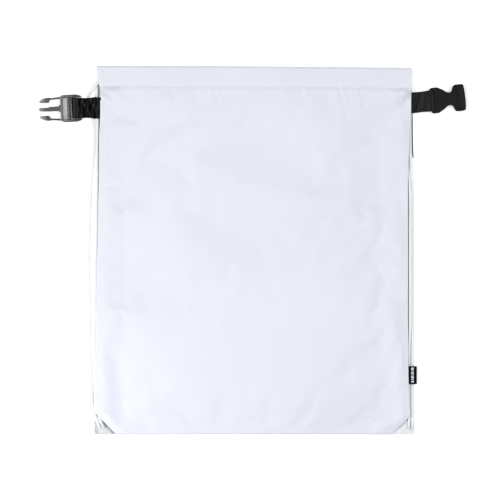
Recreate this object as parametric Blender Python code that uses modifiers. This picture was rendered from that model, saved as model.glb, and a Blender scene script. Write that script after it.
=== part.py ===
"""Drawstring backpack, lying on its back: +Z up out of the front, +Y towards the mouth, +X across.

Two polyester panels are sewn along the sides, the bottom and the cut bottom corners, and each is
folded over at the mouth into a hem that is open at both ends. Two draw cords run through both hems,
turn round at the far side and come down beside the bag to a tab in their own bottom corner. A loop
of webbing in each side seam, just below the hem, holds one half of a side-release buckle. A folded
woven label is caught in the right seam.
"""

import math

import bmesh
import bpy
import numpy as np
from mathutils import Matrix, Vector

# Cloth
FABRIC = 0.0008
GAP = 0.0003
SEAM_STEP = FABRIC + GAP

# Body outline, seen from the front: (height along the bag, edge across the bag)
BOTTOM = -0.2100
LEFT_EDGE = (
    (BOTTOM, -0.1582), (-0.1830, -0.1840), (-0.1000, -0.1812), (-0.0150, -0.1799),
    (0.0200, -0.1787), (0.0500, -0.1784), (0.0800, -0.1776), (0.1340, -0.1774),
    (0.1460, -0.1760), (0.1820, -0.1760), (0.1960, -0.1784), (0.2112, -0.1808),
)
RIGHT_EDGE = (
    (BOTTOM, 0.1561), (-0.1888, 0.1780), (-0.1700, 0.1766), (-0.1400, 0.1757), (-0.0800, 0.1753),
    (0.0800, 0.1753), (0.1300, 0.1770), (0.1500, 0.1778), (0.1600, 0.1787), (0.1810, 0.1787),
    (0.2045, 0.1792), (0.2112, 0.1776),
)
MOUTH_SLOPE = -0.0069

# Heights of the slightly open bag
EDGE_LIFT = 0.0050
CORNER_LIFT = 0.0014
CROWN = 0.0115
SEAM_TOP = 0.1780
HEM_FULL = 0.1890

# Hem, folded round its cords
HEM_RADIUS = 0.0028
HEM_TOP = 0.2100
HEM_STITCH = 0.1862
HEM_FLOOR = 0.1886
FLAP_HALF = 0.1630
MOUTH_GAP_END = 0.0006
MOUTH_GAP_RISE = 0.0049

# Notch in the back panel where the right cord's strands pass from its hem to behind it
SLIT_DEPTH = 0.0095

# Draw cords
CORD_RADIUS = 0.00175

# Webbing loops: where each leaves its seam, and where its buckle's bar is
TAPE_HALF = 0.0120
TAPE_THICK = 0.00135
TAPE_ROOT_HALF = 0.0014
TAPE_SEWN = 0.0100
TAPE_SPLIT = 0.0140
LEFT_ROOT = Vector((-0.1763, 0.1631, 0.0060))
RIGHT_ROOT = Vector((0.1792, 0.1687, 0.0060))
MALE_BAR = Vector((-0.2049, 0.1630, 0.0031))
FEMALE_BAR = Vector((0.2032, 0.1713, 0.0044))
MALE_TURN = math.radians(2.5)
FEMALE_TURN = math.radians(6.5)

# Buckle halves, measured from the webbing bar: along, across, and half their thickness
BAR_RADIUS = 0.00125
SLOT_HALF = 0.0124
MALE_HALF_THICK = 0.0030
ARM_HALF_THICK = 0.0023
TONGUE_HALF_THICK = 0.0017
FRAME_FRONT = 0.0167
ARM_ROOT = 0.0170
FEMALE_HALF_THICK = 0.0043
FEMALE_SLOT_END = 0.0034
SOCKET_END = 0.0130
SOCKET_HALF = 0.0126
SOCKET_HALF_HIGH = 0.00275
MOUTH_END = 0.0370

# Label
LABEL_LONG = 0.0206
LABEL_WIDE = 0.0092
LABEL_CENTRE = -0.1422
LABEL_HIGH = 0.0054

# Draw-cord routes, in millimetres: from one sewn end to the other
LEFT_CORD_ROUTE = (
    (-176.6, -203.2, 2.9), (-179.6, -195.6, 2.9), (-184.3, -182.0, 2.9), (-186.0, -164.0, 1.9),
    (-187.2, -135.0, 1.9), (-188.3, -98.0, 1.9), (-188.6, -60.0, 1.9), (-189.4, -28.0, 1.9),
    (-189.3, 5.0, 1.9), (-188.2, 42.0, 1.9), (-186.6, 76.0, 1.9), (-184.5, 109.0, 1.9),
    (-183.8, 136.0, 1.9), (-185.2, 153.0, 1.9), (-188.6, 166.0, 1.9), (-190.3, 173.5, 1.9),
    (-189.2, 178.6, 2.4), (-185.0, 184.2, 5.2), (-180.4, 189.8, 8.2), (-176.0, 192.4, 9.5),
    (-166.0, 192.6, 10.1), (-107.0, 191.9, 11.8), (-53.0, 191.4, 14.0), (0.0, 191.0, 15.0),
    (53.0, 190.6, 14.0), (107.0, 190.3, 11.8), (155.0, 189.9, 10.2), (164.0, 190.0, 9.9),
    (169.7, 192.1, 8.6), (172.0, 197.2, 6.4), (169.7, 202.3, 4.2), (164.0, 204.3, 3.1),
    (155.0, 204.4, 3.0), (0.0, 205.5, 3.0), (-158.0, 206.5, 3.0), (-168.0, 205.4, 3.0),
    (-173.4, 201.6, 3.0), (-176.4, 196.6, 3.0), (-178.4, 191.0, 3.0), (-179.9, 185.6, 2.6),
    (-180.6, 179.5, 2.0), (-180.3, 170.0, 1.9), (-179.8, 150.0, 1.9), (-179.9, 112.0, 1.9),
    (-180.1, 40.0, 1.9), (-181.2, -60.0, 1.9), (-181.2, -160.0, 1.9), (-177.9, -188.5, 2.9),
    (-172.4, -202.6, 2.9),
)
RIGHT_CORD_ROUTE = (
    (180.8, -205.0, 2.9), (180.9, -185.0, 2.8), (180.9, -160.0, 1.9), (181.0, -120.0, 1.9),
    (181.1, -60.0, 1.9), (181.1, 20.0, 1.9), (180.8, 70.0, 1.9), (179.6, 92.0, 1.9),
    (178.3, 110.0, 1.9), (178.0, 130.0, 1.9), (178.0, 150.0, 1.9), (178.3, 166.0, 1.9),
    (178.2, 174.5, 2.2), (177.5, 180.6, 3.4), (177.0, 185.4, 4.8), (176.7, 190.8, 6.6),
    (175.9, 196.5, 8.4), (173.6, 201.4, 9.6), (168.8, 204.3, 10.1), (158.0, 204.9, 10.2),
    (107.0, 205.3, 11.8), (53.0, 205.6, 14.0), (0.0, 206.0, 15.0), (-53.0, 206.4, 14.0),
    (-107.0, 206.7, 11.8), (-155.0, 207.1, 10.2), (-164.0, 207.0, 9.9), (-169.9, 204.9, 8.6),
    (-172.3, 199.5, 6.4), (-169.9, 194.1, 4.2), (-164.0, 192.0, 3.1), (-155.0, 191.9, 3.0),
    (0.0, 190.8, 3.0), (155.0, 189.7, 3.0), (164.2, 190.0, 3.0), (170.1, 188.4, 3.0),
    (173.3, 183.6, 2.8), (173.9, 177.5, 2.1), (173.9, 165.0, 1.9), (174.0, 125.0, 1.9),
    (174.6, 104.0, 1.9), (176.8, 84.0, 3.0), (177.9, 64.0, 4.2), (178.0, 20.0, 4.3),
    (178.0, -40.0, 4.3), (177.9, -88.0, 4.2), (177.2, -106.0, 3.0), (176.7, -124.0, 1.9),
    (176.6, -165.0, 1.9), (176.9, -187.0, 2.8), (176.6, -203.0, 2.9),
)


# ---------------------------------------------------------------- helpers

def clear_scene():
    for thing in list(bpy.data.objects):
        bpy.data.objects.remove(thing, do_unlink=True)


def collection(name):
    made = bpy.data.collections.new(name)
    bpy.context.scene.collection.children.link(made)
    return made


def material(name, colour, roughness):
    made = bpy.data.materials.new(name)
    made.use_nodes = True
    shader = made.node_tree.nodes["Principled BSDF"]
    shader.inputs["Base Color"].default_value = (*colour, 1.0)
    shader.inputs["Roughness"].default_value = roughness
    shader.inputs["Metallic"].default_value = 0.0
    return made


def mix(a, b, share):
    return a + (b - a) * share


def ramp(value, low, high):
    """0 below low, 1 above high, with a soft start and end."""
    share = min(max((value - low) / (high - low), 0.0), 1.0)
    return share * share * (3.0 - 2.0 * share)


def arc(centre, radius, start, end, steps):
    """Points on a circle, with the angles in degrees."""
    angles = [math.radians(mix(start, end, i / steps)) for i in range(steps + 1)]
    return [(centre[0] + radius * math.cos(a), centre[1] + radius * math.sin(a)) for a in angles]


def add(name, mesh, where, look=None):
    made = bpy.data.objects.new(name, mesh)
    where.objects.link(made)
    if look:
        mesh.materials.clear()
        mesh.materials.append(look)
    return made


def mesh_of_curve(curve, name):
    """The curve's evaluated surface as a mesh with its caps welded on."""
    holder = bpy.data.objects.new(name, curve)
    bpy.context.scene.collection.objects.link(holder)
    bpy.context.view_layer.update()
    evaluated = holder.evaluated_get(bpy.context.evaluated_depsgraph_get())
    mesh = bpy.data.meshes.new_from_object(evaluated)
    bpy.data.objects.remove(holder, do_unlink=True)
    body = bmesh.new()
    body.from_mesh(mesh)
    bmesh.ops.remove_doubles(body, verts=body.verts, dist=1e-6)
    bmesh.ops.recalc_face_normals(body, faces=body.faces)
    body.to_mesh(mesh)
    body.free()
    return mesh


def plate(name, outlines, half_thick):
    """A flat plate: the first outline is its edge, and any others are holes."""
    curve = bpy.data.curves.new(name, "CURVE")
    curve.dimensions = "2D"
    curve.fill_mode = "BOTH"
    curve.extrude = half_thick
    for outline in outlines:
        spline = curve.splines.new("POLY")
        spline.points.add(len(outline) - 1)
        for point, (x, y) in zip(spline.points, outline):
            point.co = (x, y, 0.0, 1.0)
        spline.use_cyclic_u = True
    return mesh_of_curve(curve, name)


def block(name, low, high, where):
    """A box between two corners, kept for cutting or joining."""
    body = bmesh.new()
    size = [high[i] - low[i] for i in range(3)]
    middle = [(high[i] + low[i]) / 2 for i in range(3)]
    place = Matrix.Translation(middle) @ Matrix.Diagonal((*size, 1.0))
    bmesh.ops.create_cube(body, size=1.0, matrix=place)
    mesh = bpy.data.meshes.new(name)
    body.to_mesh(mesh)
    body.free()
    return helper(add(name, mesh, where))


def bar(name, radius, half_long, where):
    """A round bar across the buckle, centred on the joint axis."""
    body = bmesh.new()
    bmesh.ops.create_cone(
        body, cap_ends=True, segments=20, radius1=radius, radius2=radius,
        depth=2 * half_long, matrix=Matrix.Rotation(math.pi / 2, 4, "X"),
    )
    mesh = bpy.data.meshes.new(name)
    body.to_mesh(mesh)
    body.free()
    return helper(add(name, mesh, where))


def helper(thing):
    thing.hide_render = True
    thing.display_type = "WIRE"
    return thing


def combine(target, tool, operation):
    step = target.modifiers.new(operation.lower() + "_" + tool.name, "BOOLEAN")
    step.operation = operation
    step.solver = "EXACT"
    step.object = tool


def soften(target, width, segments=1):
    step = target.modifiers.new("edges", "BEVEL")
    step.width = width
    step.segments = segments
    step.limit_method = "ANGLE"
    step.angle_limit = math.radians(50)


def smooth_path(route, coarse=0.02, turn=0.30):
    """Points along a smooth curve through the route, closer together where it bends."""
    ends = [2 * route[0] - route[1], *route, 2 * route[-1] - route[-2]]
    path = []
    for before, start, end, after in zip(ends, ends[1:], ends[2:], ends[3:]):
        into, out = (end - before).normalized(), (after - start).normalized()
        bend = into.angle(out, 0.0)
        steps = max(1, math.ceil(bend / turn), math.ceil((end - start).length / coarse / 2))
        leave, arrive = centripetal(before, start, end, after)
        for i in range(steps):
            path.append(hermite(start, end, leave, arrive, i / steps))
    path.append(route[-1])
    return path


def centripetal(before, start, end, after):
    """Tangents at start and end that keep an unevenly spaced curve free of overshoot."""
    a = max((start - before).length, 1e-9) ** 0.5
    b = max((end - start).length, 1e-9) ** 0.5
    c = max((after - end).length, 1e-9) ** 0.5
    leave = (start - before) / a - (end - before) / (a + b) + (end - start) / b
    arrive = (end - start) / b - (after - start) / (b + c) + (after - end) / c
    return leave * b, arrive * b


def hermite(start, end, leave, arrive, t):
    t2, t3 = t * t, t * t * t
    return (
        start * (2 * t3 - 3 * t2 + 1) + leave * (t3 - 2 * t2 + t)
        + end * (3 * t2 - 2 * t3) + arrive * (t3 - t2)
    )


# ---------------------------------------------------------------- cloth panels

def edges_at(y, front=True):
    """A panel's left and right edge at height y."""
    left = np.interp(y, *zip(*LEFT_EDGE))
    right = np.interp(y, *zip(*RIGHT_EDGE))
    if not front:
        right -= SLIT_DEPTH * ramp(y, SEAM_TOP, 0.1820) * (1 - ramp(y, 0.1870, 0.1940))
    return float(left), float(right)


def back_height(y, inset):
    """Middle of the back panel's cloth: flat on the floor, with its sides lifted over the cords."""
    lift = EDGE_LIFT * (1 - ramp(y, SEAM_TOP, HEM_FULL))
    lift = mix(CORNER_LIFT, lift, ramp(y, BOTTOM, -0.190))
    return FABRIC / 2 + lift * (1 - ramp(inset, 0.006, 0.036))


def mouth_gap(x):
    """Opening between the two hems: nearly closed at the sides and widest in the middle."""
    return MOUTH_GAP_END + MOUTH_GAP_RISE * (0.5 + 0.5 * math.cos(math.pi * x / 0.180))


def front_height(x, y, inset):
    """Middle of the front panel's cloth, a low pillow over the back panel."""
    side = math.sin(math.pi / 2 * min(inset / 0.120, 1.0))
    foot = math.sin(math.pi / 2 * min((y - BOTTOM) / 0.120, 1.0))
    pillow = SEAM_STEP + CROWN * side * foot
    hem = 4 * HEM_RADIUS + FABRIC + mouth_gap(x)
    share = ramp(y, mix(SEAM_TOP, 0.080, side), HEM_FULL)
    return back_height(y, inset) + mix(pillow, hem, share)


def panel_rows():
    """(height, turn round the hem in degrees, distance from the outer wall) of each row of points."""
    body = [BOTTOM, -0.201, -0.1888, -0.183, -0.170, -0.150, -0.120, -0.085, -0.050, -0.015,
            0.020, 0.055, 0.090, 0.120, 0.145, 0.160, 0.170, SEAM_TOP, 0.182, 0.1855, HEM_FULL,
            0.1965, 0.2035]
    turn_at = HEM_TOP - FABRIC / 2 - HEM_RADIUS
    rows = [(y, None, 0.0) for y in body if y < turn_at]
    rows += [(turn_at, angle, 0.0) for angle in range(0, 181, 30)]
    full = 2 * HEM_RADIUS
    rows += [(0.2010, None, full), (0.1950, None, full), (HEM_FLOOR, None, full)]
    rows += [(mix(HEM_FLOOR, HEM_STITCH, 0.55), None, mix(full, SEAM_STEP, 0.5))]
    rows += [(HEM_STITCH, None, SEAM_STEP)]
    return rows


def panel(name, front, where, look):
    """One cloth panel with its hem folded in: front folds down, back folds up."""
    insets = (0.0, 0.014, 0.033, 0.055, 0.078, 0.104, 0.17, 0.25, 0.33, 0.415)
    columns = [*insets, 0.5, *(1 - share for share in reversed(insets))]
    rows = panel_rows()
    body = bmesh.new()
    across, along = len(columns) - 1, len(rows) - 1
    bmesh.ops.create_grid(body, x_segments=across, y_segments=along, size=0.5)
    for point in body.verts:
        column = round((point.co.x + 0.5) * across)
        row = round((point.co.y + 0.5) * along)
        point.co = panel_point(columns[column], *rows[row], front)
    if not front:
        bmesh.ops.reverse_faces(body, faces=body.faces)
    mesh = bpy.data.meshes.new(name)
    body.to_mesh(mesh)
    body.free()
    made = add(name, mesh, where, look)
    shell = made.modifiers.new("cloth", "SOLIDIFY")
    shell.thickness = FABRIC
    shell.offset = 0.0
    shell.use_even_offset = True
    return made


def panel_point(share, y, angle, drop, front):
    left, right = edges_at(y, front)
    x = mix(left, right, share)
    height = front_height(x, y, min(x - left, right - x)) if front else (
        back_height(y, min(x - left, right - x)))
    flap_x = mix(-FLAP_HALF, FLAP_HALF, share)
    if angle is not None:
        turn = math.radians(angle)
        y += HEM_RADIUS * math.sin(turn)
        drop = HEM_RADIUS * (1 - math.cos(turn))
        x = mix(x, flap_x, ramp(angle, 90, 180))
    elif drop:
        x = flap_x
        inset = min(x - left, right - x)
        height = front_height(x, y, inset) if front else back_height(y, inset)
    height += -drop if front else drop
    return Vector((x, y + MOUTH_SLOPE * x * ramp(y, 0.0, 0.18), height))


def corner_tab(name, outline, where, look):
    """A flat triangle of cloth under a cut corner, where its cord's two ends are sewn down."""
    made = add(name, plate(name, [outline], FABRIC / 2), where, look)
    made.location = (0, 0, FABRIC / 2)
    return made


# ---------------------------------------------------------------- cords

def draw_cord(name, route, where, look):
    curve = bpy.data.curves.new(name, "CURVE")
    curve.dimensions = "3D"
    curve.bevel_depth = CORD_RADIUS
    curve.bevel_resolution = 2
    curve.use_fill_caps = True
    points = smooth_path([Vector(point) / 1000 for point in route])
    spline = curve.splines.new("POLY")
    spline.points.add(len(points) - 1)
    for point, place in zip(spline.points, points):
        point.co = (*place, 1.0)
    return add(name, mesh_of_curve(curve, name), where, look)


# ---------------------------------------------------------------- webbing

def webbing_loop(name, root, bar_at, turn, where, look):
    """A tape folded round the buckle's bar, its two layers sewn together at the seam.

    Its object's origin is on the fold line, along the top edge of the sewn end.
    """
    reach = Vector((bar_at.x - root.x, bar_at.y - root.y)).length
    loop_radius = BAR_RADIUS + 0.00035 + TAPE_THICK
    inner_radius = loop_radius - TAPE_THICK

    def middle(s):
        return mix(root.z, bar_at.z, ramp(s, 0.009, reach))

    def half(s):
        return mix(TAPE_ROOT_HALF, loop_radius, ramp(s, TAPE_SEWN, reach - 0.001))

    out = [reach * i / 12 for i in range(12)]
    edge = [(s, middle(s) + half(s)) for s in out]
    edge += arc((reach, bar_at.z), loop_radius, 90, -90, 12)
    edge += [(s, middle(s) - half(s)) for s in reversed(out)]
    legs = [mix(TAPE_SPLIT, reach, i / 6) for i in range(6)]
    hole = [(s, middle(s) + half(s) - TAPE_THICK) for s in legs]
    hole += arc((reach, bar_at.z), inner_radius, 90, -90, 10)
    hole += [(s, middle(s) - half(s) + TAPE_THICK) for s in reversed(legs)]
    mesh = plate(name, [edge, hole], TAPE_HALF)
    fold = Vector((root.x, root.y, root.z + TAPE_ROOT_HALF))
    for vertex in mesh.vertices:
        s, height, across = vertex.co
        twist = turn * min(max(s / (reach - 0.0085), 0.0), 1.0)
        line = root.lerp(bar_at, s / reach)
        side = Vector((-math.sin(twist), math.cos(twist), 0.0)) * across
        vertex.co = Vector((line.x + side.x, line.y + side.y, height)) - fold
    body = bmesh.new()
    body.from_mesh(mesh)
    bmesh.ops.recalc_face_normals(body, faces=body.faces)
    body.to_mesh(mesh)
    body.free()
    made = add(name, mesh, where, look)
    made.location = fold
    return made


# ---------------------------------------------------------------- buckle halves

def mirrored(half):
    """A closed outline from its half at positive v, listed from one end to the other."""
    return [*half, *((u, -v) for u, v in reversed(half))]


def male_frame(parts, cutters, look):
    """Frame, webbing bar, ridged ladder bar and guide tongue, in one moulding."""
    edge = (
        (-0.0074, SLOT_HALF), (-0.0074, 0.0133), (-0.0045, 0.0148), (-0.0010, 0.0155),
        (0.0120, 0.0155), (0.0152, 0.0149), (FRAME_FRONT, 0.0134),
    )
    inside = ((0.0143, SLOT_HALF),)
    outline = [*edge, *((u, -v) for u, v in reversed(edge))]
    outline += [(u, -v) for u, v in inside] + list(inside)
    made = add("male_buckle_frame", plate("male_buckle_frame", [outline], MALE_HALF_THICK), parts, look)
    soften(made, 0.0004)
    combine(made, bar("male_bar", BAR_RADIUS, SLOT_HALF + 0.001, cutters), "UNION")
    ladder = block(
        "ladder_bar", (0.0047, -SLOT_HALF - 0.001, -0.0017),
        (0.0094, SLOT_HALF + 0.001, 0.0016), cutters)
    combine(made, ladder, "UNION")
    for i in range(6):
        v = (i - 2.5) * 0.0027
        ridge = block(
            f"ladder_ridge_{i + 1}", (0.0051, v - 0.0006, 0.0010), (0.0090, v + 0.0006, 0.0023), cutters)
        combine(made, ridge, "UNION")
    tongue = [
        (FRAME_FRONT - 0.0005, -0.0046), (FRAME_FRONT + 0.0006, -0.0042), (0.0193, -0.0028),
        (0.0296, -0.0026), (0.0312, -0.0017), (0.0396, -0.0016),
        *arc((0.0394, 0.0002), 0.0018, -75, 75, 4),
        (0.0296, 0.0023), (0.0193, 0.0025), (FRAME_FRONT + 0.0006, 0.0042), (FRAME_FRONT - 0.0005, 0.0046),
    ]
    guide = helper(add("tongue", plate("tongue", [tongue], TONGUE_HALF_THICK), cutters))
    combine(made, guide, "UNION")
    return made


def latch_arm(name, side, parts, look):
    """A springy arm with an arrow head, its origin where it flexes at the frame."""
    root = (ARM_ROOT, 0.0125)
    outline = (
        (ARM_ROOT, 0.0116), (ARM_ROOT, 0.0135), (0.0185, 0.0133), (0.0283, 0.0124),
        (0.0286, 0.0131), (0.0335, 0.0130), (0.0382, 0.0111), (0.0410, 0.0090),
        (0.0409, 0.0083), (0.0385, 0.0076), (0.0302, 0.0074), (0.0286, 0.0106), (0.0185, 0.0113),
    )
    shape = [(u - root[0], side * (v - root[1])) for u, v in outline]
    made = add(name, plate(name, [shape], ARM_HALF_THICK), parts, look)
    soften(made, 0.0003)
    facing = Matrix.Rotation(math.pi + MALE_TURN, 4, "Z")
    made.matrix_world = (
        Matrix.Translation(MALE_BAR) @ facing @ Matrix.Translation((root[0], side * root[1], 0)))
    return made


def female_half(parts, cutters, look):
    """Hollow socket: a collar round the mouth, a pinched waist with open sides, and the webbing bar."""
    half = (
        (-0.0019, 0.0134), (0.0, 0.0146), (0.0065, 0.0146), (0.0125, 0.0112), (0.0172, 0.0078),
        (0.0192, 0.0071), (0.0216, 0.0073), (0.0234, 0.0090), (0.0246, 0.0126), (0.0258, 0.0146),
        (0.0275, 0.0152), (0.0350, 0.0152), (0.0366, 0.0146), (MOUTH_END, 0.0134),
    )
    made = add("female_buckle", plate("female_buckle", [mirrored(half)], FEMALE_HALF_THICK), parts, look)
    soften(made, 0.0009, 2)
    tall = 0.01
    window = block(
        "webbing_slot", (-tall, -SLOT_HALF, -tall), (FEMALE_SLOT_END, SLOT_HALF, tall), cutters)
    combine(made, window, "DIFFERENCE")
    socket = block(
        "socket", (SOCKET_END, -SOCKET_HALF, -SOCKET_HALF_HIGH),
        (MOUTH_END + tall, SOCKET_HALF, SOCKET_HALF_HIGH), cutters)
    combine(made, socket, "DIFFERENCE")
    combine(made, bar("female_bar", BAR_RADIUS, SLOT_HALF + 0.001, cutters), "UNION")
    return made


# ---------------------------------------------------------------- label

def label(parts, look):
    """A folded woven tab over the right cords, its origin on its sewn edge's top line."""
    root = edges_at(LABEL_CENTRE)[1] + 0.0004
    made = block("side_label", (0, -LABEL_LONG / 2, -FABRIC), (LABEL_WIDE, LABEL_LONG / 2, 0), parts)
    made.hide_render = False
    made.display_type = "TEXTURED"
    made.data.materials.append(look)
    made.location = (root, LABEL_CENTRE, LABEL_HIGH + FABRIC)
    soften(made, 0.0002)
    return made


def main():
    clear_scene()
    parts = collection("drawstring_backpack")
    cutters = collection("cutters")
    white = material("bag_cloth", (0.82, 0.83, 0.88), 0.55)
    grey = material("tab_cloth", (0.74, 0.76, 0.78), 0.65)
    cord = material("cord_braid", (0.86, 0.86, 0.86), 0.75)
    black_tape = material("webbing", (0.018, 0.018, 0.020), 0.80)
    glossy = material("male_plastic", (0.030, 0.030, 0.032), 0.36)
    moulded = material("female_plastic", (0.020, 0.020, 0.021), 0.50)
    woven = material("label_weave", (0.020, 0.021, 0.026), 0.80)

    panel("back_panel", False, parts, white)
    panel("front_panel", True, parts, white)
    corner_tab("left_corner_tab", [
        (-0.1836, -0.1800), (-0.1830, BOTTOM), (-0.1520, BOTTOM), (-0.1762, -0.1766),
    ], parts, grey)
    corner_tab("right_corner_tab", [
        (0.1795, -0.1860), (0.1740, -0.1824), (0.1500, BOTTOM), (0.1820, BOTTOM),
    ], parts, grey)
    draw_cord("left_draw_cord", LEFT_CORD_ROUTE, parts, cord)
    draw_cord("right_draw_cord", RIGHT_CORD_ROUTE, parts, cord)
    webbing_loop("left_strap", LEFT_ROOT, MALE_BAR, MALE_TURN, parts, black_tape)
    webbing_loop("right_strap", RIGHT_ROOT, FEMALE_BAR, FEMALE_TURN, parts, black_tape)

    male = male_frame(parts, cutters, glossy)
    female = female_half(parts, cutters, moulded)
    carry(male, cutters, Matrix.Translation(MALE_BAR) @ Matrix.Rotation(math.pi + MALE_TURN, 4, "Z"))
    carry(female, cutters, Matrix.Translation(FEMALE_BAR) @ Matrix.Rotation(FEMALE_TURN, 4, "Z"))
    latch_arm("upper_latch_arm", -1, parts, glossy)
    latch_arm("lower_latch_arm", 1, parts, glossy)
    label(parts, woven)
    bpy.context.view_layer.update()


def carry(piece, cutters, place):
    """Moves a piece and the tools that shape it to the same place."""
    for step in piece.modifiers:
        if step.type == "BOOLEAN":
            step.object.matrix_world = place
    piece.matrix_world = place


main()
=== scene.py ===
"""Drawstring backpack lying on its back: cloth, cords, webbing, buckle halves, label and thread."""
import math

import bmesh
import bpy
import numpy as np
from mathutils import Matrix, Vector


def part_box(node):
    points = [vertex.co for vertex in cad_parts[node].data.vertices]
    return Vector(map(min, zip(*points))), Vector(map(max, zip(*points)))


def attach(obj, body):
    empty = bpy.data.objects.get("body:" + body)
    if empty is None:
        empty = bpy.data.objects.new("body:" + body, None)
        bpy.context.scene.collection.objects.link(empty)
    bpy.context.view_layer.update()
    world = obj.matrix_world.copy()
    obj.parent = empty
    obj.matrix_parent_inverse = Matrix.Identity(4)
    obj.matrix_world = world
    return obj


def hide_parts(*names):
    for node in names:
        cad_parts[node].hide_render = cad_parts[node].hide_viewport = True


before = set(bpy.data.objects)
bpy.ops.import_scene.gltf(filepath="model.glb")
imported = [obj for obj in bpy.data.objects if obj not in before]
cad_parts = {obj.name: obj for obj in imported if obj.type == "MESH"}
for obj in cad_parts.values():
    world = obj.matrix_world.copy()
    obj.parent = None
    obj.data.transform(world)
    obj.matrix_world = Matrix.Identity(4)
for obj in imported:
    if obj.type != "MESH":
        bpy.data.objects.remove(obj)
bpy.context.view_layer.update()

# ---------------- shape of the bag, as in the CAD
BOTTOM = -0.2100
LEFT_EDGE = (
    (BOTTOM, -0.1582), (-0.1830, -0.1840), (-0.1000, -0.1812), (-0.0150, -0.1799),
    (0.0200, -0.1787), (0.0500, -0.1784), (0.0800, -0.1776), (0.1340, -0.1774),
    (0.1460, -0.1760), (0.1820, -0.1760), (0.1960, -0.1784), (0.2112, -0.1808),
)
RIGHT_EDGE = (
    (BOTTOM, 0.1561), (-0.1888, 0.1780), (-0.1700, 0.1766), (-0.1400, 0.1757), (-0.0800, 0.1753),
    (0.0800, 0.1753), (0.1300, 0.1770), (0.1500, 0.1778), (0.1600, 0.1787), (0.1810, 0.1787),
    (0.2045, 0.1792), (0.2112, 0.1776),
)
MOUTH_SLOPE = -0.0069
EDGE_LIFT = 0.0050
CORNER_LIFT = 0.0014
CROWN = 0.0115
SEAM_TOP = 0.1780
HEM_FULL = 0.1890
HEM_RADIUS = 0.0028
HEM_TOP = 0.2100
HEM_STITCH = 0.1862
CLOTH = 0.0008
SEAM_STEP = CLOTH + 0.0003
SLIT_DEPTH = 0.0095
CORD_RADIUS = 0.00175
FLAP = 0.1640  # half width of the turned-in part of a hem
HIGHLIGHT_RIM_WIDTH = 0.0022  # width of the painted highlight along the panels' side edges
TAB_SHADE = 0.006  # how far the painted shadow of the front panel's edge reaches over a corner tab
TAPE = 0.0012  # thickness of one layer of webbing
SLACK_CAP = 0.0030  # the most that the settled cloth may move
SLACK_FRAMES = 20
LABEL_RIPPLE = 420  # radians per metre
LASHING = 0.00022  # radius of the thread
LEFT_ROOT = Vector((-0.1763, 0.1631, 0.0060))
RIGHT_ROOT = Vector((0.1792, 0.1687, 0.0060))
MALE_BAR = Vector((-0.2049, 0.1630, 0.0031))
FEMALE_BAR = Vector((0.2032, 0.1713, 0.0044))
MALE_TURN = math.radians(2.5)
FEMALE_TURN = math.radians(6.5)

LEFT_CORD_ROUTE = (
    (-176.6, -203.2, 2.9), (-179.6, -195.6, 2.9), (-184.3, -182.0, 2.9), (-186.0, -164.0, 1.9),
    (-187.2, -135.0, 1.9), (-188.3, -98.0, 1.9), (-188.6, -60.0, 1.9), (-189.4, -28.0, 1.9),
    (-189.3, 5.0, 1.9), (-188.2, 42.0, 1.9), (-186.6, 76.0, 1.9), (-184.5, 109.0, 1.9),
    (-183.8, 136.0, 1.9), (-185.2, 153.0, 1.9), (-188.6, 166.0, 1.9), (-190.3, 173.5, 1.9),
    (-189.2, 178.6, 2.4), (-185.0, 184.2, 5.2), (-180.4, 189.8, 8.2), (-176.0, 192.4, 9.5),
    (-166.0, 192.6, 10.1), (-107.0, 191.9, 11.8), (-53.0, 191.4, 14.0), (0.0, 191.0, 15.0),
    (53.0, 190.6, 14.0), (107.0, 190.3, 11.8), (155.0, 189.9, 10.2), (164.0, 190.0, 9.9),
    (169.7, 192.1, 8.6), (172.0, 197.2, 6.4), (169.7, 202.3, 4.2), (164.0, 204.3, 3.1),
    (155.0, 204.4, 3.0), (0.0, 205.5, 3.0), (-158.0, 206.5, 3.0), (-168.0, 205.4, 3.0),
    (-173.4, 201.6, 3.0), (-176.4, 196.6, 3.0), (-178.4, 191.0, 3.0), (-179.9, 185.6, 2.6),
    (-180.6, 179.5, 2.0), (-180.3, 170.0, 1.9), (-179.8, 150.0, 1.9), (-179.9, 112.0, 1.9),
    (-180.1, 40.0, 1.9), (-181.2, -60.0, 1.9), (-181.2, -160.0, 1.9), (-177.9, -188.5, 2.9),
    (-172.4, -202.6, 2.9),
)
RIGHT_CORD_ROUTE = (
    (180.8, -205.0, 2.9), (180.9, -185.0, 2.8), (180.9, -160.0, 1.9), (181.0, -120.0, 1.9),
    (181.1, -60.0, 1.9), (181.1, 20.0, 1.9), (180.8, 70.0, 1.9), (179.6, 92.0, 1.9),
    (178.3, 110.0, 1.9), (178.0, 130.0, 1.9), (178.0, 150.0, 1.9), (178.3, 166.0, 1.9),
    (178.2, 174.5, 2.2), (177.5, 180.6, 3.4), (177.0, 185.4, 4.8), (176.7, 190.8, 6.6),
    (175.9, 196.5, 8.4), (173.6, 201.4, 9.6), (168.8, 204.3, 10.1), (158.0, 204.9, 10.2),
    (107.0, 205.3, 11.8), (53.0, 205.6, 14.0), (0.0, 206.0, 15.0), (-53.0, 206.4, 14.0),
    (-107.0, 206.7, 11.8), (-155.0, 207.1, 10.2), (-164.0, 207.0, 9.9), (-169.9, 204.9, 8.6),
    (-172.3, 199.5, 6.4), (-169.9, 194.1, 4.2), (-164.0, 192.0, 3.1), (-155.0, 191.9, 3.0),
    (0.0, 190.8, 3.0), (155.0, 189.7, 3.0), (164.2, 190.0, 3.0), (170.1, 188.4, 3.0),
    (173.3, 183.6, 2.8), (173.9, 177.5, 2.1), (173.9, 165.0, 1.9), (174.0, 125.0, 1.9),
    (174.6, 104.0, 1.9), (176.8, 84.0, 3.0), (177.9, 64.0, 4.2), (178.0, 20.0, 4.3),
    (178.0, -40.0, 4.3), (177.9, -88.0, 4.2), (177.2, -106.0, 3.0), (176.7, -124.0, 1.9),
    (176.6, -165.0, 1.9), (176.9, -187.0, 2.8), (176.6, -203.0, 2.9),
)


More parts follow.
